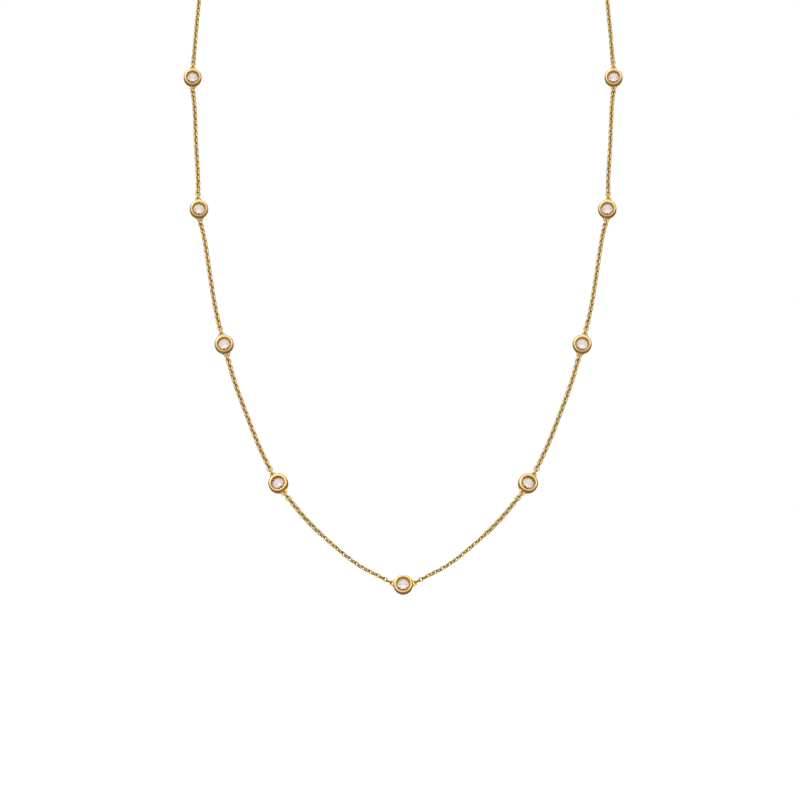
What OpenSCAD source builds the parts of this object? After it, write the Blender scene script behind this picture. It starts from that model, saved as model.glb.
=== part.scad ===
// Fine cable-chain necklace with nine bezel-set round stones, held in the form it has when worn.
// Millimetres. +X is the photo's right, +Z is up, and the nape of the neck is towards +Y.
// The origin is the middle of the neck's hollow, level with the chain at the sides of the neck.

/* [Stones] */
// Diameter of each round stone
stone_d = 3; // [2.9:0.05:3.1]
// Diameter of the flat table, as a share of the stone's diameter
table_share = 0.56; // [0.52:0.01:0.6]
// Angle of the crown's main facets, in degrees
crown_angle = 34.5; // [33:0.5:36]
// Angle of the pavilion's main facets, in degrees
pavilion_angle = 40.75; // [39:0.25:41.5]
// Height of the girdle between crown and pavilion
girdle_h = 0.09; // [0.06:0.01:0.12]

/* [Bezels] */
// Outer diameter of the bezel at its widest
bezel_d = 4; // [3.9:0.05:4.1]
// Gap between a stone and its seat
seat_gap = 0.03; // [0.02:0.01:0.04]
// How far the rim laps over the stone's edge
lip_lap = 0.14; // [0.12:0.01:0.2]
// Height of the rim above the stone's girdle
rim_h = 0.74; // [0.7:0.01:0.78]
// Depth of the cup below the stone's girdle
cup_depth = 1.4; // [1.4:0.05:1.8]
// Diameter of the open back
back_hole_d = 2.4; // [1.8:0.1:2.5]
// How far the outside rounds in at the back
base_w = 0.4; // [0.3:0.05:0.5]

/* [Eyelets] */
// Thickness of the soldered eyelet's wire
eyelet_wire = 0.36; // [0.32:0.01:0.36]
// Diameter of the eyelet, measured at the middle of its wire
eyelet_d = 0.84; // [0.84:0.02:0.92]
// Height of the centre bezel's eyelets above its sides, in degrees
centre_eyelet_rise = 10; // [5:1:15]

/* [Chain] */
// Width of the chain across its links
chain_d = 1.2; // [1.16:0.02:1.22]
// Thickness of a link's wire
link_wire = 0.36; // [0.32:0.01:0.36]
// Gap between a link and what it hooks on
link_gap = 0.05; // [0.04:0.01:0.06]

/* [Clasp] */
// Diameter of the spring ring, measured at the middle of its wire
clasp_d = 4.2; // [3.8:0.1:4.6]
// Thickness of the spring ring's wire
clasp_wire = 0.9; // [0.8:0.05:1]
// Diameter of the clasp's small loop, measured at the middle of its wire
clasp_loop_d = 1.1; // [1.1:0.05:1.3]
// Diameter of the end ring, measured at the middle of its wire
end_ring_d = 2.2; // [2.1:0.1:2.6]
// Thickness of the wire of the end ring and of the clasp's small loop
ring_wire = 0.34; // [0.3:0.02:0.34]

/* [Hidden] */
SIDES = 2;
STATIONS = 4;

gold = [0.85, 0.62, 0.25];
stone_colour = [0.96, 0.9, 0.9];

// The route of the photo's left half, from the centre bezel up and round to the nape.
// Every fourth point up to the last bezel is the middle of a bezel's girdle.
route = [
    [0, -59, -128.9], [-7.7, -57.5, -125.9], [-14.3, -55.7, -121.1], [-20.2, -53.5, -115.6],
    [-25.5, -51, -109], [-29.2, -48.2, -102.4], [-32.3, -45.4, -95.3], [-35.2, -42.4, -88],
    [-37.6, -39.4, -80.3], [-39.6, -36.4, -73.2], [-41.1, -33.3, -65.9], [-42.5, -30.1, -58.5],
    [-44.2, -26.8, -50.7], [-44.8, -23.3, -43.3], [-45.6, -19.7, -35.7], [-46.3, -15.8, -27.9],
    [-47.2, -11.7, -19.7], [-47.2, -7.6, -12.4], [-47.1, -3.3, -5.1], [-46.8, 1.2, 2.4],
    [-45.8, 5.7, 9.7], [-43.2, 10.4, 16.2], [-38.8, 15, 21.7], [-32.5, 19.2, 25.7],
    [-25, 22.6, 28], [-17, 25, 29.2], [-8.6, 26.5, 29.7], [0, 27, 29.8]];
POINTS_PER_STATION = 4;
LAST = len(route) - 1;

// How each station lies, from the centre bezel outwards
// [upward tilt of the face, outward turn of the face], in degrees
station_lie = [[18, 0], [17, 5], [8, -3], [5, -7], [5, -7]];
TILT = 0;
TURN = 1;

// Roughly square to the whole loop, which keeps the rings of a swept tube from twisting
loop_normal = [0, -1, 1];

RINGS_PER_SPAN = 6;
RINGS_ROUND_NECK = 15;
TUBE_SIDES = 8;
WIRE_SIDES = 6;
MAIN_FACETS = 8;
SMOOTH = 64;

// Sizes of the bezel that follow from the stone
stone_r = stone_d / 2;
bezel_r = bezel_d / 2;
mouth_r = stone_r - lip_lap;
seat_r = stone_r + seat_gap;
back_hole_r = back_hole_d / 2;
base_h = 0.9;
// The rim rounds up from the outside to its crest, and falls ever more steeply inside it
shoulder_w = 0.5;
shoulder_h = 0.4;
crest_r = bezel_r - shoulder_w;
fall_power = 2;
lip_edge = 0.05;
seat_drop = 0.05;
// The facets next to the girdle rise this much faster than the crown's main facets
steepest_crown = 1.45;

eyelet_r = eyelet_d / 2;
eyelet_z = -0.25;
eyelet_sink = 0.09;
eyelet_mid = bezel_r + eyelet_r - eyelet_sink;
link_r = link_wire / 2;

// Where the solder that widens an eyelet's root meets the wall, as shares of the bezel's radius
solder_in = 0.88;
solder_side = 0.45;
solder_core_in = 0.9;
solder_core_side = 0.15;
solder_h = 0.22;

// Places on the nape, all in line with the last point of the route
nape = route[LAST];
clasp_r = clasp_d / 2;
loop_r = clasp_loop_d / 2;
end_ring_r = end_ring_d / 2;
ring_clearance = 0.08;
loop_reach = clasp_r + clasp_wire / 2 + loop_r;
end_ring_mid = clasp_r - clasp_wire / 2 - ring_wire / 2 - ring_clearance + end_ring_r;
clasp_shift = -(end_ring_mid - loop_reach) / 2;
loop_at = nape + [clasp_shift - loop_reach, 0, 0];
end_ring_at = nape + [clasp_shift + end_ring_mid, 0, 0];

// The knob of the spring ring's trigger, which stands out of the ring at an angle round it
trigger_angle = 60;
trigger_d = 0.5;
trigger_h = 0.45;
trigger_sink = 0.12;

function unit(v) = v / norm(v);
function flip(p, side) = side == 0 ? p : [-p[0], p[1], p[2]];
function route_point(i) =
    i < 0 ? 2 * route[0] - route[1] : i > LAST ? flip(route[2 * LAST - i], 1) : route[i];

// A smooth curve through the route's points: s counts the points, with a whole number at each
function route_at(s) =
    let (
        i = min(floor(s), LAST - 1), t = s - i,
        a = route_point(i - 1), b = route_point(i), c = route_point(i + 1), d = route_point(i + 2))
    0.5 * (2 * b + (c - a) * t + (2 * a - 5 * b + 4 * c - d) * t * t
        + (3 * b - a - 3 * c + d) * t * t * t);

// The axes of a station on the left side: across the face, up the face and out of the face
function face_across(k) = let (turn = -station_lie[k][TURN]) [cos(turn), sin(turn), 0];
function face_out(k) =
    let (turn = -station_lie[k][TURN], tilt = station_lie[k][TILT])
    [sin(turn) * cos(tilt), -cos(turn) * cos(tilt), sin(tilt)];
function face_up(k) = cross(face_out(k), face_across(k));

// The angle in the face at which the chain leaves towards the nape, from the curve's
// direction over a short reach of the route to either side
ROLL_REACH = 0.4;
function roll(k) =
    let (
        s = k * POINTS_PER_STATION,
        along = k == 0 ? [-1, 0, 0] : route_at(s + ROLL_REACH) - route_at(s - ROLL_REACH))
    atan2(along * face_up(k), along * face_across(k));
function leave_angle(k) = k == 0 ? roll(0) - centre_eyelet_rise : roll(k);
function enter_angle(k) = roll(k) + 180;

// The middle of an eyelet's hole on the left side
function eyelet_at(k, angle) =
    route[k * POINTS_PER_STATION] + eyelet_z * face_out(k)
    + eyelet_mid * (cos(angle) * face_across(k) + sin(angle) * face_up(k));

// The part of a direction that is square to an axis
function squared(v, axis) = unit(v - (v * axis) * axis);

// The two rings that a chain hooks on, on the left side: below it an eyelet, and above it
// an eyelet, the clasp's loop or the end ring
// [middle, radius at the middle of its wire, wire, axis]
function lower_ring(k) = [eyelet_at(k, leave_angle(k)), eyelet_r, eyelet_wire, face_out(k)];
function upper_ring(k, side) =
    k < STATIONS ? [eyelet_at(k + 1, enter_angle(k + 1)), eyelet_r, eyelet_wire, face_out(k + 1)]
    : side == 0 ? [loop_at, loop_r, ring_wire, [0, 1, 0]]
    : [flip(end_ring_at, 1), end_ring_r, ring_wire, [0, 0, 1]];
MID = 0;
RADIUS = 1;
WIRE = 2;
AXIS = 3;

// Where the chain bears on a ring's wire, when it runs from there towards a point
function bearing(ring, toward) = ring[MID] + ring[RADIUS] * squared(toward - ring[MID], ring[AXIS]);
// How far behind that wire the middle of the link's own wire is
function behind(ring) = ring[WIRE] / 2 + link_r + link_gap;

// The loop at each end of a chain is a link's end, whose legs close in and end inside the tube.
// Lengths are measured from the middle of the wire at the very end of the loop.
bail_r = chain_d / 2 - link_r;
bail_neck = 0.78;
bail_neck_r = 0.28;
bail_end = 1.05;
bail_end_r = 0.19;
tube_skip = 0.68;

// The tube leaves the route this many points before a bezel or the clasp
STATION_REACH = 0.75;
NAPE_REACH = 0.8;

// Where the tube of the chain runs, on the left side: it starts and stops a loop's length
// from its two rings, and follows the route between them
function span_path(k, side) =
    let (
        s0 = k * POINTS_PER_STATION, s1 = k < STATIONS ? s0 + POINTS_PER_STATION : LAST,
        count = k < STATIONS ? RINGS_PER_SPAN : RINGS_ROUND_NECK,
        first = s0 + STATION_REACH, last = s1 - (k < STATIONS ? STATION_REACH : NAPE_REACH),
        a = route_at(first), b = route_at(last),
        low = lower_ring(k), high = upper_ring(k, side),
        from = bearing(low, a), to = bearing(high, b))
    concat(
        [from + (tube_skip - behind(low)) * unit(a - from)],
        [for (i = [0:count - 3]) route_at(first + (last - first) * i / (count - 3))],
        [to + (tube_skip - behind(high)) * unit(b - to)]);

// A tube with flat ends swept along points. The reference keeps its rings from twisting.
function ring_at(points, i, r, sides, ref) =
    let (
        n = len(points) - 1,
        along = unit(points[min(i + 1, n)] - points[max(i - 1, 0)]),
        across = unit(cross(along, ref)), up = cross(across, along))
    [for (j = [0:sides - 1])
        points[i] + r * (cos(360 * j / sides) * across + sin(360 * j / sides) * up)];

module sweep(points, r, sides, ref) {
    n = len(points);
    skin = [for (i = [0:n - 1]) each ring_at(points, i, r, sides, ref)];
    walls = [for (i = [0:n - 2]) for (j = [0:sides - 1])
        let (k = (j + 1) % sides)
        [i * sides + j, i * sides + k, (i + 1) * sides + k, (i + 1) * sides + j]];
    first = [for (j = [sides - 1:-1:0]) j];
    last = [for (j = [0:sides - 1]) (n - 1) * sides + j];
    polyhedron(skin, concat(walls, [first, last]), convexity = 4);
}

// A bail: the curved end of a link, with both its legs sunk in the tube
module bail(ring, toward) {
    bear = bearing(ring, toward);
    along = unit(toward - bear);
    side_axis = squared(ring[AXIS], along);
    bend = [for (a = [-90:30:90]) [bail_r * (1 - cos(a)), bail_r * sin(a)]];
    outline = concat([[bail_end, -bail_end_r], [bail_neck, -bail_neck_r]], bend,
        [[bail_neck, bail_neck_r], [bail_end, bail_end_r]]);
    path = [for (q = outline) bear + (q[0] - behind(ring)) * along + q[1] * side_axis];
    sweep(path, link_r, WIRE_SIDES, cross(along, side_axis));
}

module chain_span(k, side) {
    path = span_path(k, side);
    color(gold)
    mirror([side, 0, 0]) {
        sweep(path, chain_d / 2, TUBE_SIDES, loop_normal);
        bail(lower_ring(k), path[0]);
        bail(upper_ring(k, side), path[len(path) - 1]);
    }
}

// A plain ring of round wire, flat in its XY plane
module wire_ring(mid_r, wire) {
    rotate_extrude($fn = SMOOTH) translate([mid_r, 0]) circle(d = wire, $fn = SMOOTH);
}

// The bezel's wall in section, from the back up the outside, over the rim and down the inside
module bezel_section() {
    seat_top = -girdle_h / 2 - seat_drop;
    seat_low = seat_top - (seat_r - back_hole_r) * tan(pavilion_angle);
    lip_root = girdle_h / 2 + 1.5 * seat_gap;
    lip_low = lip_root + steepest_crown * lip_lap * tan(crown_angle);
    lip_top = lip_low + lip_edge;
    polygon(concat(
        [[back_hole_r, -cup_depth]],
        [for (a = [-90:15:0]) [bezel_r - base_w * (1 - cos(a)), -cup_depth + base_h * (1 + sin(a))]],
        [for (a = [0:15:90]) [crest_r + shoulder_w * cos(a), rim_h - shoulder_h * (1 - sin(a))]],
        [for (q = [0.2:0.2:1])
            [crest_r - q * (crest_r - mouth_r), rim_h - pow(q, fall_power) * (rim_h - lip_top)]],
        [[mouth_r, lip_low], [seat_r, lip_root], [seat_r, seat_top], [back_hole_r, seat_low]]));
}

// The solder on one side of an eyelet's root, from the wall to the widest place of the eyelet
module solder_side() {
    core = 0.7 * eyelet_r;
    linear_extrude(solder_h, center = true)
        polygon([
            [solder_in * bezel_r, solder_side * bezel_r], [solder_core_in * bezel_r, solder_core_side * bezel_r],
            [eyelet_mid - core, core], [eyelet_mid, eyelet_r], [eyelet_mid, eyelet_r + eyelet_wire / 3]]);
}

module eyelet() {
    translate([eyelet_mid, 0, 0]) wire_ring(eyelet_r, eyelet_wire);
    solder_side();
    mirror([0, 1, 0]) solder_side();
}

module bezel(k) {
    color(gold) {
        rotate_extrude($fn = SMOOTH) bezel_section();
        for (angle = [leave_angle(k), enter_angle(k) + (k == 0 ? centre_eyelet_rise : 0)])
            rotate([0, 0, angle]) translate([0, 0, eyelet_z]) eyelet();
    }
}

// A round brilliant: a table, stars, kites and upper girdle facets above the girdle,
// and mains and lower girdle facets below it. Each facet is flat by its formula.
// The lower girdle facets end at this share of the radius.
lower_facet_end = 0.22;
module brilliant() {
    step = 360 / MAIN_FACETS;
    table_r = stone_r * table_share;
    crown_slope = tan(crown_angle);
    pavilion_slope = tan(pavilion_angle);
    crown_z = girdle_h / 2 + (stone_r - table_r) * crown_slope;
    star_x = (table_r + stone_r) / 2;
    star_r = star_x / cos(step / 2);
    star_z = girdle_h / 2 + (stone_r - star_x) * crown_slope;
    lower_x = stone_r * lower_facet_end;
    lower_r = lower_x / cos(step / 2);
    lower_z = -girdle_h / 2 - (stone_r - lower_x) * pavilion_slope;
    culet_z = -girdle_h / 2 - stone_r * pavilion_slope;
    m = MAIN_FACETS;
    function at(r, a, z) = [r * cos(a), r * sin(a), z];
    points = concat(
        [for (i = [0:m - 1]) at(table_r, i * step, crown_z)],
        [for (i = [0:m - 1]) at(star_r, (i + 0.5) * step, star_z)],
        [for (i = [0:2 * m - 1]) at(stone_r, i * step / 2, girdle_h / 2)],
        [for (i = [0:2 * m - 1]) at(stone_r, i * step / 2, -girdle_h / 2)],
        [for (i = [0:m - 1]) at(lower_r, (i + 0.5) * step, lower_z)],
        [[0, 0, culet_z]]);
    star = m;
    top = 2 * m;
    low = 4 * m;
    lower = 6 * m;
    culet = 7 * m;
    facets = concat(
        [[for (i = [m - 1:-1:0]) i]],
        [for (i = [0:m - 1]) let (j = (i + 1) % m) [i, j, star + i]],
        [for (i = [0:m - 1]) let (h = (i + m - 1) % m) [i, star + i, top + 2 * i, star + h]],
        [for (i = [0:m - 1]) [star + i, top + 2 * i + 1, top + 2 * i]],
        [for (i = [0:m - 1]) [star + i, top + (2 * i + 2) % (2 * m), top + 2 * i + 1]],
        [for (i = [0:2 * m - 1]) let (j = (i + 1) % (2 * m)) [top + i, top + j, low + j, low + i]],
        [for (i = [0:m - 1]) [lower + i, low + 2 * i, low + 2 * i + 1]],
        [for (i = [0:m - 1]) [lower + i, low + 2 * i + 1, low + (2 * i + 2) % (2 * m)]],
        [for (i = [0:m - 1]) let (h = (i + m - 1) % m) [culet, lower + h, low + 2 * i, lower + i]]);
    color(stone_colour) polyhedron(points, facets, convexity = 2);
}

// Puts what is drawn face up at the origin on a station
module at_station(k, side) {
    mirror([side, 0, 0])
    translate(route[k * POINTS_PER_STATION])
    rotate([90 - station_lie[k][TILT], 0, -station_lie[k][TURN]])
        children();
}

// The spring ring lies flat on the nape, with its small loop towards the photo's left
module clasp() {
    color(gold)
    translate(nape + [clasp_shift, 0, 0]) rotate([90, 0, 0]) {
        wire_ring(clasp_r, clasp_wire);
        translate([-loop_reach, 0, 0]) wire_ring(loop_r, ring_wire);
        rotate([0, 0, trigger_angle]) translate([clasp_r + clasp_wire / 2 - trigger_sink, 0, 0])
            rotate([0, 90, 0]) cylinder(h = trigger_h, d = trigger_d, $fn = SMOOTH);
    }
}

module end_ring() {
    color(gold) translate(end_ring_at) wire_ring(end_ring_r, ring_wire);
}

for (k = [0:STATIONS]) for (side = [0:1]) if (k > 0 || side == 0) {
    number = 1 + k + (side == 1 ? STATIONS : 0);
    at_station(k, side) bezel(k);
    at_station(k, side) brilliant();
}
for (k = [0:STATIONS]) for (side = [0:1]) {
    number = 1 + k + (side == 1 ? STATIONS + 1 : 0);
    chain_span(k, side);
}
clasp();
end_ring();
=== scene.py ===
# Fine cable-chain necklace with nine bezel-set round stones, in the form it has when worn.
# Pieces are modelled on the bench in millimetres, and set in their places in metres.
import math
import random
from collections import namedtuple

import bpy
from mathutils import Matrix, Vector


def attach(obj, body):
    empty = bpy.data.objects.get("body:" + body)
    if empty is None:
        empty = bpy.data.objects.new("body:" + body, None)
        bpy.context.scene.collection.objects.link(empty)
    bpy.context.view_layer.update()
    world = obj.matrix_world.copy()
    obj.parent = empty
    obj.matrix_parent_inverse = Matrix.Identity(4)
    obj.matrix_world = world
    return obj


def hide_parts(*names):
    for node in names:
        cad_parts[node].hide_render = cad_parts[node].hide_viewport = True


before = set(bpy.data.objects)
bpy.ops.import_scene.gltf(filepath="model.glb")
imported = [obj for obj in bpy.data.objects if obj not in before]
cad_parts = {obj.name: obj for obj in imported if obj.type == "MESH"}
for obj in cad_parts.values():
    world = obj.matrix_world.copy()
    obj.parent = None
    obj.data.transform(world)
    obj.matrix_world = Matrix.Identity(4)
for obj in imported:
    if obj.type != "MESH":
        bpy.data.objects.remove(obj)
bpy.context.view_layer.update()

MM = 0.001
FRONT = Vector((0, -1, 0))

# The route of the picture's left half, from the centre bezel up and round to the nape.
# Every fourth point up to the last bezel is the middle of a bezel's girdle.
ROUTE = [Vector(p) for p in (
    (0, -59, -128.9), (-7.7, -57.5, -125.9), (-14.3, -55.7, -121.1), (-20.2, -53.5, -115.6),
    (-25.5, -51, -109), (-29.2, -48.2, -102.4), (-32.3, -45.4, -95.3), (-35.2, -42.4, -88),
    (-37.6, -39.4, -80.3), (-39.6, -36.4, -73.2), (-41.1, -33.3, -65.9), (-42.5, -30.1, -58.5),
    (-44.2, -26.8, -50.7), (-44.8, -23.3, -43.3), (-45.6, -19.7, -35.7), (-46.3, -15.8, -27.9),
    (-47.2, -11.7, -19.7), (-47.2, -7.6, -12.4), (-47.1, -3.3, -5.1), (-46.8, 1.2, 2.4),
    (-45.8, 5.7, 9.7), (-43.2, 10.4, 16.2), (-38.8, 15, 21.7), (-32.5, 19.2, 25.7),
    (-25, 22.6, 28), (-17, 25, 29.2), (-8.6, 26.5, 29.7), (0, 27, 29.8))]
LAST = len(ROUTE) - 1
POINTS_PER_STATION = 4
STATIONS = 4
# Upward tilt and outward turn of each face in degrees, from the centre bezel outwards
FACE_LIE = [(18, 0), (17, 5), (8, -3), (5, -7), (5, -7)]
# How far along the route, in points, the chain's way is read and its curve begins
ROLL_REACH = 0.4
STATION_REACH = 0.75
NAPE_REACH = 0.8
STEPS_PER_POINT = 20

PAVILION_SLOPE = math.tan(math.radians(40.75))
BLUSH_LOW = (0.97, 0.84, 0.85)
BLUSH_HIGH = (0.98, 0.88, 0.87)
# Painted reflection of the gold seat: the stone's colour turns to this brown between these two radii
SEAT_GOLD_REFLECTION = (0.32, 0.2, 0.09)
REFLECTION_FROM = 0.95
REFLECTION_TO = 1.08

BEZEL_R = 2
MOUTH_R = 1.36
SEAT_R = 1.53
SEAT_TOP = -0.095
RIM_H = 0.74
SHOULDER_W = 0.5
SHOULDER_H = 0.4
# The rim falls ever more steeply inside its crest
FALL_POWER = 2
FALL_STEPS = 8
LIP_EDGE = 0.05
LIP_LOW = 0.2295
LIP_ROOT = 0.09
CUP_DEPTH = 1.4
BACK_HOLE_R = 1.2
BASE_W = 0.4
BASE_H = 0.9
CUP_SIDES = 96

EYELET_R = 0.42
EYELET_WIRE = 0.36
EYELET_Z = -0.25
EYELET_SINK = 0.09
EYELET_MID = BEZEL_R + EYELET_R - EYELET_SINK
SOLDER_FROM = 1.7
SOLDER_TO = EYELET_MID
SOLDER_ROOT = 0.98
SOLDER_END = 0.58
SOLDER_H = 0.36
CENTRE_EYELET_RISE = 10

LINK_WIRE = 0.36
LINK_WIDTH = 1.2
LINK_LENGTH = 1.58
LINK_GAP = 0.05
LINK_PLAY = 0.03
# Degrees that the hanging links are rolled, and that one of them is off that roll
HANG_ROLL = 45
LOOSE_ROLL = 5
# Degrees that an end link is askew in its ring, and the links over which the roll eases from it
END_PLAY = 6
EASE_LINKS = 4
looseness = random.Random(4)

CLASP_R = 2.1
CLASP_WIRE = 0.9
CLASP_LOOP_R = 0.55
RING_WIRE = 0.34
END_RING_R = 1.1
RING_CLEARANCE = 0.08
LOOP_REACH = CLASP_R + CLASP_WIRE / 2 + CLASP_LOOP_R
END_RING_MID = CLASP_R - CLASP_WIRE / 2 - RING_WIRE / 2 - RING_CLEARANCE + END_RING_R
CLASP_SHIFT = -(END_RING_MID - LOOP_REACH) / 2
TRIGGER_ANGLE = 60
TRIGGER_R = 0.25
TRIGGER_H = 0.45
TRIGGER_SINK = 0.12
TRIGGER_ROUND = 0.08
NAPE = ROUTE[LAST]

# Vertices nearer together than WELD become one, and HAIR is near enough to pick them by
WELD = 0.0005
HAIR = 0.01

Ring = namedtuple("Ring", "mid radius wire axis")


# The route and what lies on it

def flip(p, side):
    return Vector((-p.x, p.y, p.z)) if side else p.copy()


def route_point(i):
    if i < 0:
        return 2 * ROUTE[0] - ROUTE[1]
    return flip(ROUTE[2 * LAST - i], 1) if i > LAST else ROUTE[i]


def route_at(s):
    """A smooth curve through the route's points: s counts the points."""
    i = min(int(s), LAST - 1)
    t = s - i
    a, b, c, d = (route_point(i + n) for n in (-1, 0, 1, 2))
    bend = 2 * a - 5 * b + 4 * c - d
    twist = 3 * b - a - 3 * c + d
    return 0.5 * (2 * b + (c - a) * t + bend * t ** 2 + twist * t ** 3)


def face_axes(k):
    """Across the face of a left station, up it and out of it."""
    tilt, turn = (math.radians(angle) for angle in FACE_LIE[k])
    across = Vector((math.cos(turn), -math.sin(turn), 0))
    out = Vector((-math.sin(turn) * math.cos(tilt), -math.cos(turn) * math.cos(tilt), math.sin(tilt)))
    return across, out.cross(across), out


def roll(k):
    """The angle in a left station's face at which the chain leaves towards the nape."""
    across, up, _ = face_axes(k)
    s = k * POINTS_PER_STATION
    along = route_at(s + ROLL_REACH) - route_at(s - ROLL_REACH) if k else Vector((-1, 0, 0))
    return math.atan2(along.dot(up), along.dot(across))


def eyelet(k, angle):
    across, up, out = face_axes(k)
    spoke = math.cos(angle) * across + math.sin(angle) * up
    mid = ROUTE[k * POINTS_PER_STATION] + EYELET_Z * out + EYELET_MID * spoke
    return Ring(mid, EYELET_R, EYELET_WIRE, out)


def lower_ring(k):
    return eyelet(k, roll(k) if k else roll(0) - math.radians(CENTRE_EYELET_RISE))


def upper_ring(k, side):
    """What the top of a chain hooks on: an eyelet, the clasp's small loop or the end ring."""
    if k < STATIONS:
        return eyelet(k + 1, roll(k + 1) + math.pi)
    if side == 0:
        loop_mid = NAPE + Vector((CLASP_SHIFT - LOOP_REACH, 0, 0))
        return Ring(loop_mid, CLASP_LOOP_R, RING_WIRE, Vector((0, 1, 0)))
    end_mid = NAPE + Vector((CLASP_SHIFT + END_RING_MID, 0, 0))
    return Ring(flip(end_mid, 1), END_RING_R, RING_WIRE, Vector((0, 0, 1)))


def squared(v, axis):
    return (v - v.dot(axis) * axis).normalized()


def bearing(ring, toward):
    """Where a chain that runs towards a point bears on a ring's wire."""
    return ring.mid + ring.radius * squared(toward - ring.mid, ring.axis)


def behind(ring):
    """How far behind that wire the middle of the end link's own wire is."""
    return ring.wire / 2 + LINK_WIRE / 2 + LINK_GAP


# Bench work

def clear_bench():
    bpy.ops.object.select_all(action="DESELECT")


def pick(piece, test):
    """Goes into edit mode with only those vertices selected whose place passes a test."""
    bpy.ops.object.mode_set(mode="EDIT")
    bpy.ops.mesh.select_mode(type="VERT")
    bpy.ops.mesh.select_all(action="DESELECT")
    bpy.ops.object.mode_set(mode="OBJECT")
    for v in piece.data.vertices:
        v.select = test(v.co)
    bpy.ops.object.mode_set(mode="EDIT")


def finish_mesh(piece, smooth_angle):
    """Closes small gaps, turns the faces outwards and smooths all but the sharp edges."""
    bpy.ops.object.mode_set(mode="OBJECT")
    clear_bench()
    piece.select_set(True)
    bpy.context.view_layer.objects.active = piece
    bpy.ops.object.mode_set(mode="EDIT")
    bpy.ops.mesh.select_all(action="SELECT")
    bpy.ops.mesh.remove_doubles(threshold=WELD)
    bpy.ops.mesh.normals_make_consistent(inside=False)
    bpy.ops.object.mode_set(mode="OBJECT")
    bpy.ops.object.shade_smooth_by_angle(angle=math.radians(smooth_angle))
    return piece


def combine(piece, other, operation):
    change = piece.modifiers.new("change", "BOOLEAN")
    change.operation = operation
    change.solver = "EXACT"
    change.object = other
    bpy.context.view_layer.objects.active = piece
    bpy.ops.object.modifier_apply(modifier=change.name)
    bpy.data.objects.remove(other)


def fuse(piece, *others):
    """Solders other pieces to a piece, as one solid."""
    for other in others:
        combine(piece, other, "UNION")
    return piece


def cut(piece, tool):
    """Takes a tool's form out of a piece."""
    combine(piece, tool, "DIFFERENCE")


def copy_to(master, place):
    """A copy with its own mesh, from the bench's millimetres to its place in metres."""
    piece = bpy.data.objects.new(master.name, master.data.copy())
    bpy.context.scene.collection.objects.link(piece)
    piece.data.transform(Matrix.Scale(MM, 4) @ place)
    return piece


def wear(piece, name, material, solid):
    """Names a finished piece, gives it its finish and puts it on the necklace in its solid's place."""
    piece.name = name
    piece.data.name = name
    piece.data.materials.clear()
    piece.data.materials.append(material)
    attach(piece, "root")
    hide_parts(solid)


def place_of(x_axis, z_axis, at):
    """The matrix that lays a bench piece along x_axis, with its face towards z_axis."""
    y_axis = z_axis.cross(x_axis)
    return Matrix.Translation(at) @ Matrix((x_axis, y_axis, z_axis)).transposed().to_4x4()


# Bezels

def cup_profile():
    """Radius and height round the wall, from the back hole up the outside and over the rim to the seat."""
    back = [(BACK_HOLE_R, -CUP_DEPTH)]
    for angle in range(-90, 1, 10):
        a = math.radians(angle)
        back.append((BEZEL_R - BASE_W * (1 - math.cos(a)), -CUP_DEPTH + BASE_H * (1 + math.sin(a))))
    crest = BEZEL_R - SHOULDER_W
    rim = []
    for angle in range(0, 91, 10):
        a = math.radians(angle)
        rim.append((crest + SHOULDER_W * math.cos(a), RIM_H - SHOULDER_H * (1 - math.sin(a))))
    drop = RIM_H - LIP_LOW - LIP_EDGE
    for step in range(1, FALL_STEPS + 1):
        q = step / FALL_STEPS
        rim.append((crest - q * (crest - MOUTH_R), RIM_H - q ** FALL_POWER * drop))
    seat_low = SEAT_TOP - (SEAT_R - BACK_HOLE_R) * PAVILION_SLOPE
    inside = [(MOUTH_R, LIP_LOW), (SEAT_R, LIP_ROOT), (SEAT_R, SEAT_TOP), (BACK_HOLE_R, seat_low)]
    return back + rim + inside


def make_cup():
    """The bezel's wall, raised ring by ring from its back edge."""
    profile = cup_profile()
    radius, height = profile[0]
    clear_bench()
    bpy.ops.mesh.primitive_circle_add(vertices=CUP_SIDES, radius=radius, location=(0, 0, height))
    bpy.ops.object.transform_apply(location=True)
    cup = bpy.context.object
    bpy.ops.object.mode_set(mode="EDIT")
    bpy.ops.mesh.select_all(action="SELECT")
    for (r0, z0), (r1, z1) in zip(profile, profile[1:]):
        bpy.ops.mesh.extrude_region_move(TRANSFORM_OT_translate={"value": (0, 0, z1 - z0)})
        bpy.ops.transform.resize(value=(r1 / r0, r1 / r0, 1), center_override=(0, 0, z1))
    seat_low = profile[-1][1]
    bpy.ops.object.mode_set(mode="OBJECT")
    pick(cup, lambda v: abs(v.xy.length - BACK_HOLE_R) < HAIR
         and min(abs(v.z - seat_low), abs(v.z + CUP_DEPTH)) < HAIR)
    bpy.ops.mesh.bridge_edge_loops()
    return finish_mesh(cup, 40)


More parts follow.
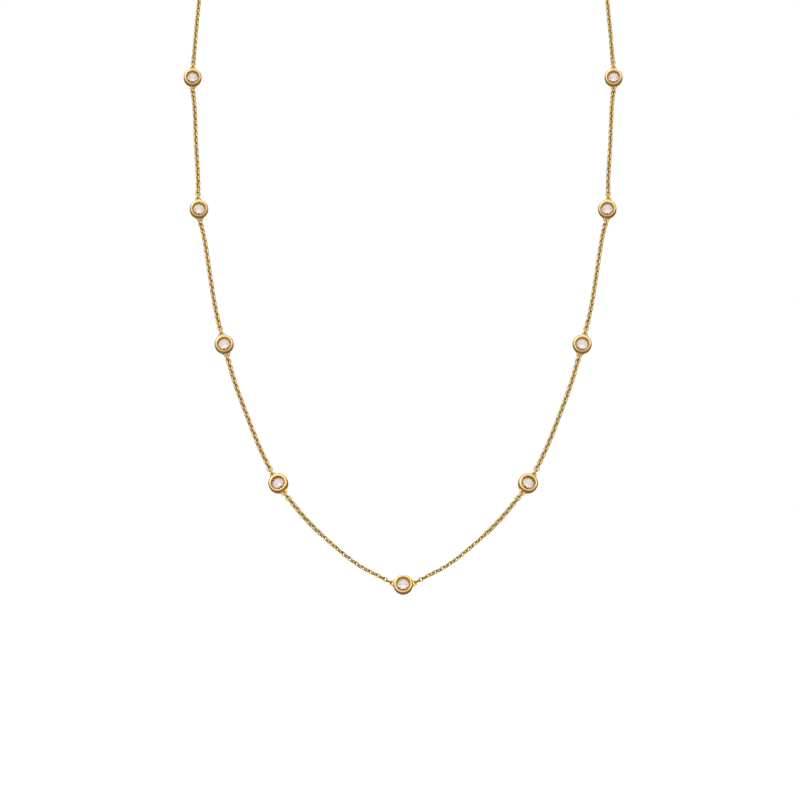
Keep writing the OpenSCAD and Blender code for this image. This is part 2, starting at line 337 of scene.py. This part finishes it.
def make_eyelet(angle):
    """A ring of round wire beside the cup, with the solder that widens towards the wall."""
    clear_bench()
    bpy.ops.mesh.primitive_torus_add(
        major_radius=EYELET_R, minor_radius=EYELET_WIRE / 2, major_segments=36, minor_segments=16,
        location=(EYELET_MID, 0, EYELET_Z))
    bpy.ops.object.transform_apply(location=True)
    ring = bpy.context.object
    clear_bench()
    bpy.ops.mesh.primitive_cone_add(
        vertices=32, radius1=SOLDER_ROOT, radius2=SOLDER_END, depth=SOLDER_TO - SOLDER_FROM)
    solder = bpy.context.object
    flatten = Matrix.Diagonal((1, 1, SOLDER_H / 2 / SOLDER_ROOT, 1))
    lay = Matrix.Translation(((SOLDER_FROM + SOLDER_TO) / 2, 0, EYELET_Z))
    solder.data.transform(lay @ flatten @ Matrix.Rotation(math.pi / 2, 4, "Y"))
    clear_bench()
    bpy.ops.mesh.primitive_cylinder_add(
        vertices=36, radius=EYELET_R - EYELET_WIRE / 3, depth=1, location=(EYELET_MID, 0, EYELET_Z))
    bpy.ops.object.transform_apply(location=True)
    cut(solder, bpy.context.object)
    fuse(ring, solder)
    finish_mesh(ring, 60)
    ring.data.transform(Matrix.Rotation(math.radians(angle), 4, "Z"))
    return ring


def make_bezel(rise):
    """A cup with an eyelet on each side, both raised by an angle."""
    bezel = fuse(make_cup(), make_eyelet(rise), make_eyelet(180 - rise))
    return finish_mesh(bezel, 40)


def station_place(k, side):
    """Where a bezel lies, with its two eyelets in line with the chain."""
    across, up, out = face_axes(k)
    angle = roll(k) + math.pi if k else 0
    x_axis = flip(math.cos(angle) * across + math.sin(angle) * up, side)
    if side:
        x_axis = -x_axis
    return place_of(x_axis, flip(out, side), flip(ROUTE[k * POINTS_PER_STATION], side))


# The chain

def make_link():
    """An oval link of round wire, drawn out from a ring."""
    clear_bench()
    half_width = (LINK_WIDTH - LINK_WIRE) / 2
    bpy.ops.mesh.primitive_torus_add(
        major_radius=half_width, minor_radius=LINK_WIRE / 2, major_segments=12, minor_segments=6)
    link = bpy.context.object
    stretch = (LINK_LENGTH - LINK_WIDTH) / 2
    for way in (-1, 1):
        pick(link, lambda v: v.x * way > LINK_WIRE / 4)
        bpy.ops.transform.translate(value=(way * stretch, 0, 0))
        bpy.ops.object.mode_set(mode="OBJECT")
    return finish_mesh(link, 80)


def chain_path(k, side):
    """Points close together from where the chain bears on its lower ring to its upper ring."""
    s0 = k * POINTS_PER_STATION
    s1 = s0 + POINTS_PER_STATION if k < STATIONS else LAST
    first = s0 + STATION_REACH
    last = s1 - (STATION_REACH if k < STATIONS else NAPE_REACH)
    steps = round((last - first) * STEPS_PER_POINT)
    middle = [route_at(first + (last - first) * i / steps) for i in range(steps + 1)]
    low = lower_ring(k)
    high = upper_ring(k, side)
    return low, [bearing(low, middle[0]), *middle, bearing(high, middle[-1])], high


def along_path(points, lengths, s):
    """The place a length s along the points, straight on past their ends."""
    i = 0
    while i < len(points) - 2 and lengths[i + 1] < s:
        i += 1
    step = points[i + 1] - points[i]
    return points[i] + step.normalized() * (s - lengths[i])


def turn_about(axis, a, b):
    """The angle in degrees from a to b round an axis."""
    return math.degrees(math.atan2(a.cross(b).dot(axis), a.dot(b)))


def near(angle, wanted, period):
    """The same angle, whole periods further on, as near as can be to the wanted one."""
    return angle + period * round((wanted - angle) / period)


def end_lean(own, hang):
    """An end link stands across its ring, but a little askew, towards how the chain hangs."""
    return own + max(-END_PLAY, min(END_PLAY, hang - own))


def link_ends(points, lengths, start, run, wire_length, count):
    pitch = run / (count - 1)
    return [(along_path(points, lengths, start + i * pitch),
             along_path(points, lengths, start + i * pitch + wire_length)) for i in range(count)]


def link_places(k, side):
    """The place of each link of a chain, from its lower ring to its upper one."""
    low, points, high = chain_path(k, side)
    lengths = [0]
    for a, b in zip(points, points[1:]):
        lengths.append(lengths[-1] + (b - a).length)
    wire_length = LINK_LENGTH - LINK_WIRE
    start = -behind(low)
    run = lengths[-1] + behind(high) - start - wire_length
    count = math.ceil(run / (wire_length - LINK_WIRE - LINK_PLAY)) + 1
    # Rolls are measured from the front, and each link stands across the one before
    first_way = (points[1] - points[0]).normalized()
    last_way = (points[-1] - points[-2]).normalized()
    first = turn_about(first_way, squared(FRONT, first_way), squared(low.axis, first_way))
    last = turn_about(last_way, squared(FRONT, last_way), squared(high.axis, last_way))
    hang = near(HANG_ROLL, first, 90)
    if abs(near(last - 90 * (count - 1), hang, 180) - hang) > 45:
        count += 1
    first_lean = end_lean(near(first, hang, 180), hang)
    last_lean = end_lean(near(last - 90 * (count - 1), hang, 180), hang)
    places = []
    for i, (a, b) in enumerate(link_ends(points, lengths, start, run, wire_length, count)):
        left = count - 1 - i
        lean = hang + looseness.uniform(-LOOSE_ROLL, LOOSE_ROLL)
        if i < EASE_LINKS:
            lean = first_lean + (hang - first_lean) * i / EASE_LINKS
        if left < EASE_LINKS:
            lean = last_lean + (hang - last_lean) * left / EASE_LINKS
        x_axis = (b - a).normalized()
        turned = Matrix.Rotation(math.radians(90 * i + lean), 3, x_axis) @ squared(FRONT, x_axis)
        x_axis = flip(x_axis, side)
        turned = flip(turned, side)
        places.append(place_of(x_axis, x_axis.cross(turned), flip((a + b) / 2, side)))
    return places


def make_chain(link, k, side):
    """All the links of one stretch of chain, joined in one mesh."""
    clear_bench()
    links = [copy_to(link, place) for place in link_places(k, side)]
    for piece in links:
        piece.select_set(True)
    bpy.context.view_layer.objects.active = links[0]
    bpy.ops.object.join()
    return links[0]


# The clasp at the nape

def wire_ring(radius, wire, at=(0, 0, 0), sides=16, steps=64):
    clear_bench()
    bpy.ops.mesh.primitive_torus_add(
        major_radius=radius, minor_radius=wire / 2, major_segments=steps, minor_segments=sides,
        location=at)
    bpy.ops.object.transform_apply(location=True)
    return bpy.context.object


def make_clasp():
    """The spring ring, with its small loop and the knob of its trigger."""
    body = wire_ring(CLASP_R, CLASP_WIRE, sides=24, steps=72)
    loop = wire_ring(CLASP_LOOP_R, RING_WIRE, (-LOOP_REACH, 0, 0), steps=40)
    clear_bench()
    bpy.ops.mesh.primitive_cylinder_add(vertices=24, radius=TRIGGER_R, depth=TRIGGER_H)
    knob = bpy.context.object
    pick(knob, lambda v: v.z > 0)
    bpy.ops.mesh.bevel(offset=TRIGGER_ROUND, segments=4, affect="EDGES")
    bpy.ops.object.mode_set(mode="OBJECT")
    out = CLASP_R + CLASP_WIRE / 2 - TRIGGER_SINK + TRIGGER_H / 2
    lay = Matrix.Rotation(math.radians(TRIGGER_ANGLE), 4, "Z") @ Matrix.Translation((out, 0, 0))
    knob.data.transform(lay @ Matrix.Rotation(math.pi / 2, 4, "Y"))
    return finish_mesh(fuse(body, loop, knob), 40)


# Finishes

def node(tree, kind, place, **values):
    made = tree.nodes.new(kind)
    made.location = place
    for key, value in values.items():
        if hasattr(made, key):
            setattr(made, key, value)
        else:
            made.inputs[key.replace("_", " ")].default_value = value
    return made


def make_hand_finish():
    """Slow changes of tone and gloss, and the fine marks that hand polishing leaves."""
    group = bpy.data.node_groups.new("hand_finish", "ShaderNodeTree")
    for name, usual in (("Tone Scale", 900), ("Mark Scale", 6000), ("Mark Depth", 0.1),
                        ("Gloss Low", 0.1), ("Gloss High", 0.25)):
        socket = group.interface.new_socket(name, in_out="INPUT", socket_type="NodeSocketFloat")
        socket.default_value = usual
    group.interface.new_socket("Tone", in_out="OUTPUT", socket_type="NodeSocketFloat")
    group.interface.new_socket("Roughness", in_out="OUTPUT", socket_type="NodeSocketFloat")
    group.interface.new_socket("Normal", in_out="OUTPUT", socket_type="NodeSocketVector")
    given = node(group, "NodeGroupInput", (-800, 0))
    coords = node(group, "ShaderNodeTexCoord", (-800, -300))
    tone = node(group, "ShaderNodeTexNoise", (-500, 200), Detail=3, Roughness=0.55)
    marks = node(group, "ShaderNodeTexNoise", (-500, -200), Detail=5, Roughness=0.6, Distortion=0.8)
    gloss = node(group, "ShaderNodeMapRange", (-250, 0))
    bump = node(group, "ShaderNodeBump", (-250, -250), Distance=0.00002)
    out = node(group, "NodeGroupOutput", (50, 0))
    link = group.links.new
    link(coords.outputs["Object"], tone.inputs["Vector"])
    link(coords.outputs["Object"], marks.inputs["Vector"])
    link(given.outputs["Tone Scale"], tone.inputs["Scale"])
    link(given.outputs["Mark Scale"], marks.inputs["Scale"])
    link(marks.outputs["Fac"], gloss.inputs["Value"])
    link(given.outputs["Gloss Low"], gloss.inputs["To Min"])
    link(given.outputs["Gloss High"], gloss.inputs["To Max"])
    link(marks.outputs["Fac"], bump.inputs["Height"])
    link(given.outputs["Mark Depth"], bump.inputs["Strength"])
    link(tone.outputs["Fac"], out.inputs["Tone"])
    link(gloss.outputs["Result"], out.inputs["Roughness"])
    link(bump.outputs["Normal"], out.inputs["Normal"])
    return group


def make_gold(name, deep, pale, finish, **values):
    """Yellow gold whose colour runs between a deep and a pale tone."""
    material = bpy.data.materials.new(name)
    material.use_nodes = True
    tree = material.node_tree
    shader = tree.nodes["Principled BSDF"]
    shader.inputs["Metallic"].default_value = 1
    effect = node(tree, "ShaderNodeGroup", (-700, 0), node_tree=finish)
    for key, value in values.items():
        effect.inputs[key.replace("_", " ")].default_value = value
    ramp = node(tree, "ShaderNodeValToRGB", (-400, 200))
    ramp.color_ramp.elements[0].position = 0.3
    ramp.color_ramp.elements[0].color = (*deep, 1)
    ramp.color_ramp.elements[1].position = 0.7
    ramp.color_ramp.elements[1].color = (*pale, 1)
    tree.links.new(effect.outputs["Tone"], ramp.inputs["Fac"])
    tree.links.new(ramp.outputs["Color"], shader.inputs["Base Color"])
    tree.links.new(effect.outputs["Roughness"], shader.inputs["Roughness"])
    tree.links.new(effect.outputs["Normal"], shader.inputs["Normal"])
    return material


def painted_reflection_mask(tree, middle, axis):
    """0 in the middle of a stone and 1 at its edge, by the distance from the stone's axis: where the
    painted reflection of the seat's gold lies.
    """
    coords = node(tree, "ShaderNodeTexCoord", (-1300, -200))
    from_middle = node(tree, "ShaderNodeVectorMath", (-1100, -200), operation="SUBTRACT")
    from_middle.inputs[1].default_value = middle
    across = node(tree, "ShaderNodeVectorMath", (-900, -200), operation="CROSS_PRODUCT")
    across.inputs[1].default_value = axis
    radius = node(tree, "ShaderNodeVectorMath", (-700, -200), operation="LENGTH")
    reflection_share = node(tree, "ShaderNodeMapRange", (-500, -200))
    reflection_share.inputs["From Min"].default_value = REFLECTION_FROM * MM
    reflection_share.inputs["From Max"].default_value = REFLECTION_TO * MM
    tree.links.new(coords.outputs["Object"], from_middle.inputs[0])
    tree.links.new(from_middle.outputs["Vector"], across.inputs[0])
    tree.links.new(across.outputs["Vector"], radius.inputs[0])
    tree.links.new(radius.outputs["Value"], reflection_share.inputs["Value"])
    return reflection_share.outputs["Result"]


def make_stone(finish, name, middle, axis):
    """Clear stone with a faint blush, and a painted reflection of its seat's gold: its colour turns brown
    towards its edge.
    """
    material = bpy.data.materials.new(name)
    material.use_nodes = True
    tree = material.node_tree
    shader = tree.nodes["Principled BSDF"]
    shader.inputs["Transmission Weight"].default_value = 1
    shader.inputs["IOR"].default_value = 1.55
    shader.inputs["Roughness"].default_value = 0
    effect = node(tree, "ShaderNodeGroup", (-900, 200), node_tree=finish)
    effect.inputs["Tone Scale"].default_value = 25
    ramp = node(tree, "ShaderNodeValToRGB", (-600, 200))
    ramp.color_ramp.elements[0].color = (*BLUSH_LOW, 1)
    ramp.color_ramp.elements[1].color = (*BLUSH_HIGH, 1)
    # Painted reflection: the stone's colour is mixed towards a gold brown near its edge, in place of the
    # seat's gold seen through the crown
    mix = node(tree, "ShaderNodeMix", (-250, 100), data_type="RGBA")
    mix.inputs["B"].default_value = (*SEAT_GOLD_REFLECTION, 1)
    tree.links.new(painted_reflection_mask(tree, middle, axis), mix.inputs["Factor"])
    tree.links.new(effect.outputs["Tone"], ramp.inputs["Fac"])
    tree.links.new(ramp.outputs["Color"], mix.inputs["A"])
    tree.links.new(mix.outputs["Result"], shader.inputs["Base Color"])
    return material


def make_pale_floor():
    material = bpy.data.materials.new("pale_floor")
    material.use_nodes = True
    tree = material.node_tree
    shader = tree.nodes["Principled BSDF"]
    shader.inputs["Roughness"].default_value = 0.8
    shader.inputs["Emission Color"].default_value = (1, 1, 1, 1)
    shader.inputs["Emission Strength"].default_value = FLOOR_GLOW
    grain = node(tree, "ShaderNodeTexNoise", (-600, 0), Scale=40, Detail=2)
    ramp = node(tree, "ShaderNodeValToRGB", (-350, 0))
    ramp.color_ramp.elements[0].color = (0.9, 0.9, 0.9, 1)
    ramp.color_ramp.elements[1].color = (0.94, 0.94, 0.94, 1)
    tree.links.new(grain.outputs["Fac"], ramp.inputs["Fac"])
    tree.links.new(ramp.outputs["Color"], shader.inputs["Base Color"])
    return material


# Studio

CAMERA_AT = (0, -0.449, -0.092)
FOCAL_PIXELS = 1950
PICTURE_SIZE = 800
PICTURE_MIDDLE = 403.12
FLOOR_Z = -0.4
FLOOR_SIZE = 8
FLOOR_GLOW = 1
ROOM_LIGHT = 1
THROUGH_LIGHT = 0.95
THROUGH_SHARE = 0.85
KEY_WAY = Vector((-0.12, -0.5, 0.8)).normalized()
# The room's light by how far a way points to the key side, from across it to straight at it
ROOM_TONES = ((0.1, (0.25, 0.2, 0.13)), (0.4, (0.45, 0.4, 0.32)),
              (0.55, (1.05, 1.02, 0.95)), (0.9, (1.4, 1.4, 1.35)))
STUDIO_MIDDLE = Vector((0, -0.02, -0.06))


def make_camera():
    bpy.ops.object.camera_add(location=CAMERA_AT, rotation=(math.pi / 2, 0, 0))
    camera = bpy.context.object
    camera.data.sensor_width = 36
    camera.data.lens = FOCAL_PIXELS / PICTURE_SIZE * camera.data.sensor_width
    camera.data.shift_x = (PICTURE_SIZE / 2 - PICTURE_MIDDLE) / PICTURE_SIZE
    camera.data.clip_start = 0.01
    bpy.context.scene.camera = camera


def make_floor():
    bpy.ops.mesh.primitive_plane_add(size=FLOOR_SIZE, location=(0, 0, FLOOR_Z))
    floor = bpy.context.object
    floor.name = "floor"
    floor.data.materials.append(make_pale_floor())
    floor.visible_glossy = False
    floor.visible_transmission = False


def light_by_way(tree):
    """The room's light, dim on one side and bright on the key side."""
    coords = node(tree, "ShaderNodeTexCoord", (-900, 0))
    facing = node(tree, "ShaderNodeVectorMath", (-700, 0), operation="DOT_PRODUCT")
    facing.inputs[1].default_value = KEY_WAY
    ramp = node(tree, "ShaderNodeValToRGB", (-500, 0))
    ramp.color_ramp.interpolation = "EASE"
    while len(ramp.color_ramp.elements) < len(ROOM_TONES):
        ramp.color_ramp.elements.new(0.5)
    for element, (position, colour) in zip(ramp.color_ramp.elements, ROOM_TONES):
        element.position = position
        element.color = (*colour, 1)
    tree.links.new(coords.outputs["Generated"], facing.inputs[0])
    tree.links.new(facing.outputs["Value"], ramp.inputs["Fac"])
    return ramp.outputs["Color"]


def make_room():
    """White where the camera looks past the necklace, and the room's light for its reflections."""
    world = bpy.data.worlds.new("room")
    bpy.context.scene.world = world
    world.use_nodes = True
    tree = world.node_tree
    tree.nodes.clear()
    room = node(tree, "ShaderNodeBackground", (-200, -100), Strength=ROOM_LIGHT)
    through = node(tree, "ShaderNodeBackground", (-200, -250), Color=(1, 1, 1, 1),
                   Strength=THROUGH_LIGHT)
    white = node(tree, "ShaderNodeBackground", (-200, 100), Color=(1, 1, 1, 1), Strength=1)
    path = node(tree, "ShaderNodeLightPath", (-200, 400))
    mix = node(tree, "ShaderNodeMixShader", (100, 0))
    mix_through = node(tree, "ShaderNodeMixShader", (0, -200))
    part = node(tree, "ShaderNodeMath", (-200, 250), operation="MULTIPLY")
    part.inputs[1].default_value = THROUGH_SHARE
    out = node(tree, "ShaderNodeOutputWorld", (300, 0))
    link = tree.links.new
    link(light_by_way(tree), room.inputs["Color"])
    link(path.outputs["Is Transmission Ray"], part.inputs[0])
    link(part.outputs["Value"], mix_through.inputs["Fac"])
    link(room.outputs["Background"], mix_through.inputs[1])
    link(through.outputs["Background"], mix_through.inputs[2])
    link(path.outputs["Is Camera Ray"], mix.inputs["Fac"])
    link(mix_through.outputs["Shader"], mix.inputs[1])
    link(white.outputs["Background"], mix.inputs[2])
    link(mix.outputs["Shader"], out.inputs["Surface"])


def make_softbox(name, at, size, power):
    """A square soft light that faces the middle of the necklace."""
    bpy.ops.object.light_add(type="AREA", location=at)
    light = bpy.context.object
    light.name = name
    light.data.size = size
    light.data.energy = power
    light.rotation_euler = (STUDIO_MIDDLE - Vector(at)).to_track_quat("-Z", "Y").to_euler()
    light.visible_camera = False


def make_studio():
    bpy.context.scene.view_settings.view_transform = "Standard"
    make_floor()
    make_room()
    make_softbox("key", (-0.45, -0.75, 0.65), 0.5, 1.2)
    make_softbox("fill", (0.7, -0.6, 0.25), 0.3, 0.3)
    make_softbox("back", (0.3, 0.9, 0.8), 0.5, 0.6)


def set_stations(gold, finish):
    """The bezels, and the finish of the stone that each one holds."""
    side_bezel = make_bezel(0)
    centre_bezel = make_bezel(CENTRE_EYELET_RISE)
    for k in range(STATIONS + 1):
        for side in range(2 if k else 1):
            number = 1 + k + STATIONS * side
            piece = copy_to(side_bezel if k else centre_bezel, station_place(k, side))
            wear(piece, f"setting_{number}", gold, f"bezel_{number}")
            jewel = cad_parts[f"stone_{number}"]
            middle = flip(ROUTE[k * POINTS_PER_STATION], side) * MM
            axis = flip(face_axes(k)[2], side)
            jewel.data.materials.clear()
            jewel.data.materials.append(make_stone(finish, f"stone_painted_reflection_{number}", middle, axis))
    bpy.data.objects.remove(side_bezel)
    bpy.data.objects.remove(centre_bezel)


def hang_chains(gold):
    link = make_link()
    for k in range(STATIONS + 1):
        for side in range(2):
            number = 1 + k + (STATIONS + 1) * side
            wear(make_chain(link, k, side), f"links_{number}", gold, f"chain_{number}")
    bpy.data.objects.remove(link)


def close_back(gold):
    """The spring ring and the ring that it closes on."""
    clasp = make_clasp()
    clasp_place = place_of(Vector((1, 0, 0)), FRONT, NAPE + Vector((CLASP_SHIFT, 0, 0)))
    wear(copy_to(clasp, clasp_place), "spring_ring", gold, "clasp")
    end_ring = finish_mesh(wire_ring(END_RING_R, RING_WIRE), 60)
    end_place = Matrix.Translation(NAPE + Vector((CLASP_SHIFT + END_RING_MID, 0, 0)))
    wear(copy_to(end_ring, end_place), "closing_ring", gold, "end_ring")
    bpy.data.objects.remove(clasp)
    bpy.data.objects.remove(end_ring)


def dress():
    """Makes each piece and puts it on its body."""
    finish = make_hand_finish()
    bright = make_gold("polished_gold", (0.81, 0.51, 0.16), (0.92, 0.65, 0.28), finish,
                       Gloss_Low=0.1, Gloss_High=0.24)
    # Painted shade: the chain's gold is a darker copy of the bezels' gold, which darkens the whole chain
    gold_painted_darker = make_gold("shaded_copy_of_gold", (0.66, 0.45, 0.15), (0.81, 0.63, 0.3), finish,
                     Tone_Scale=1500, Gloss_Low=0.14, Gloss_High=0.32)
    set_stations(bright, finish)
    hang_chains(gold_painted_darker)
    close_back(bright)


make_camera()
make_studio()
dress()
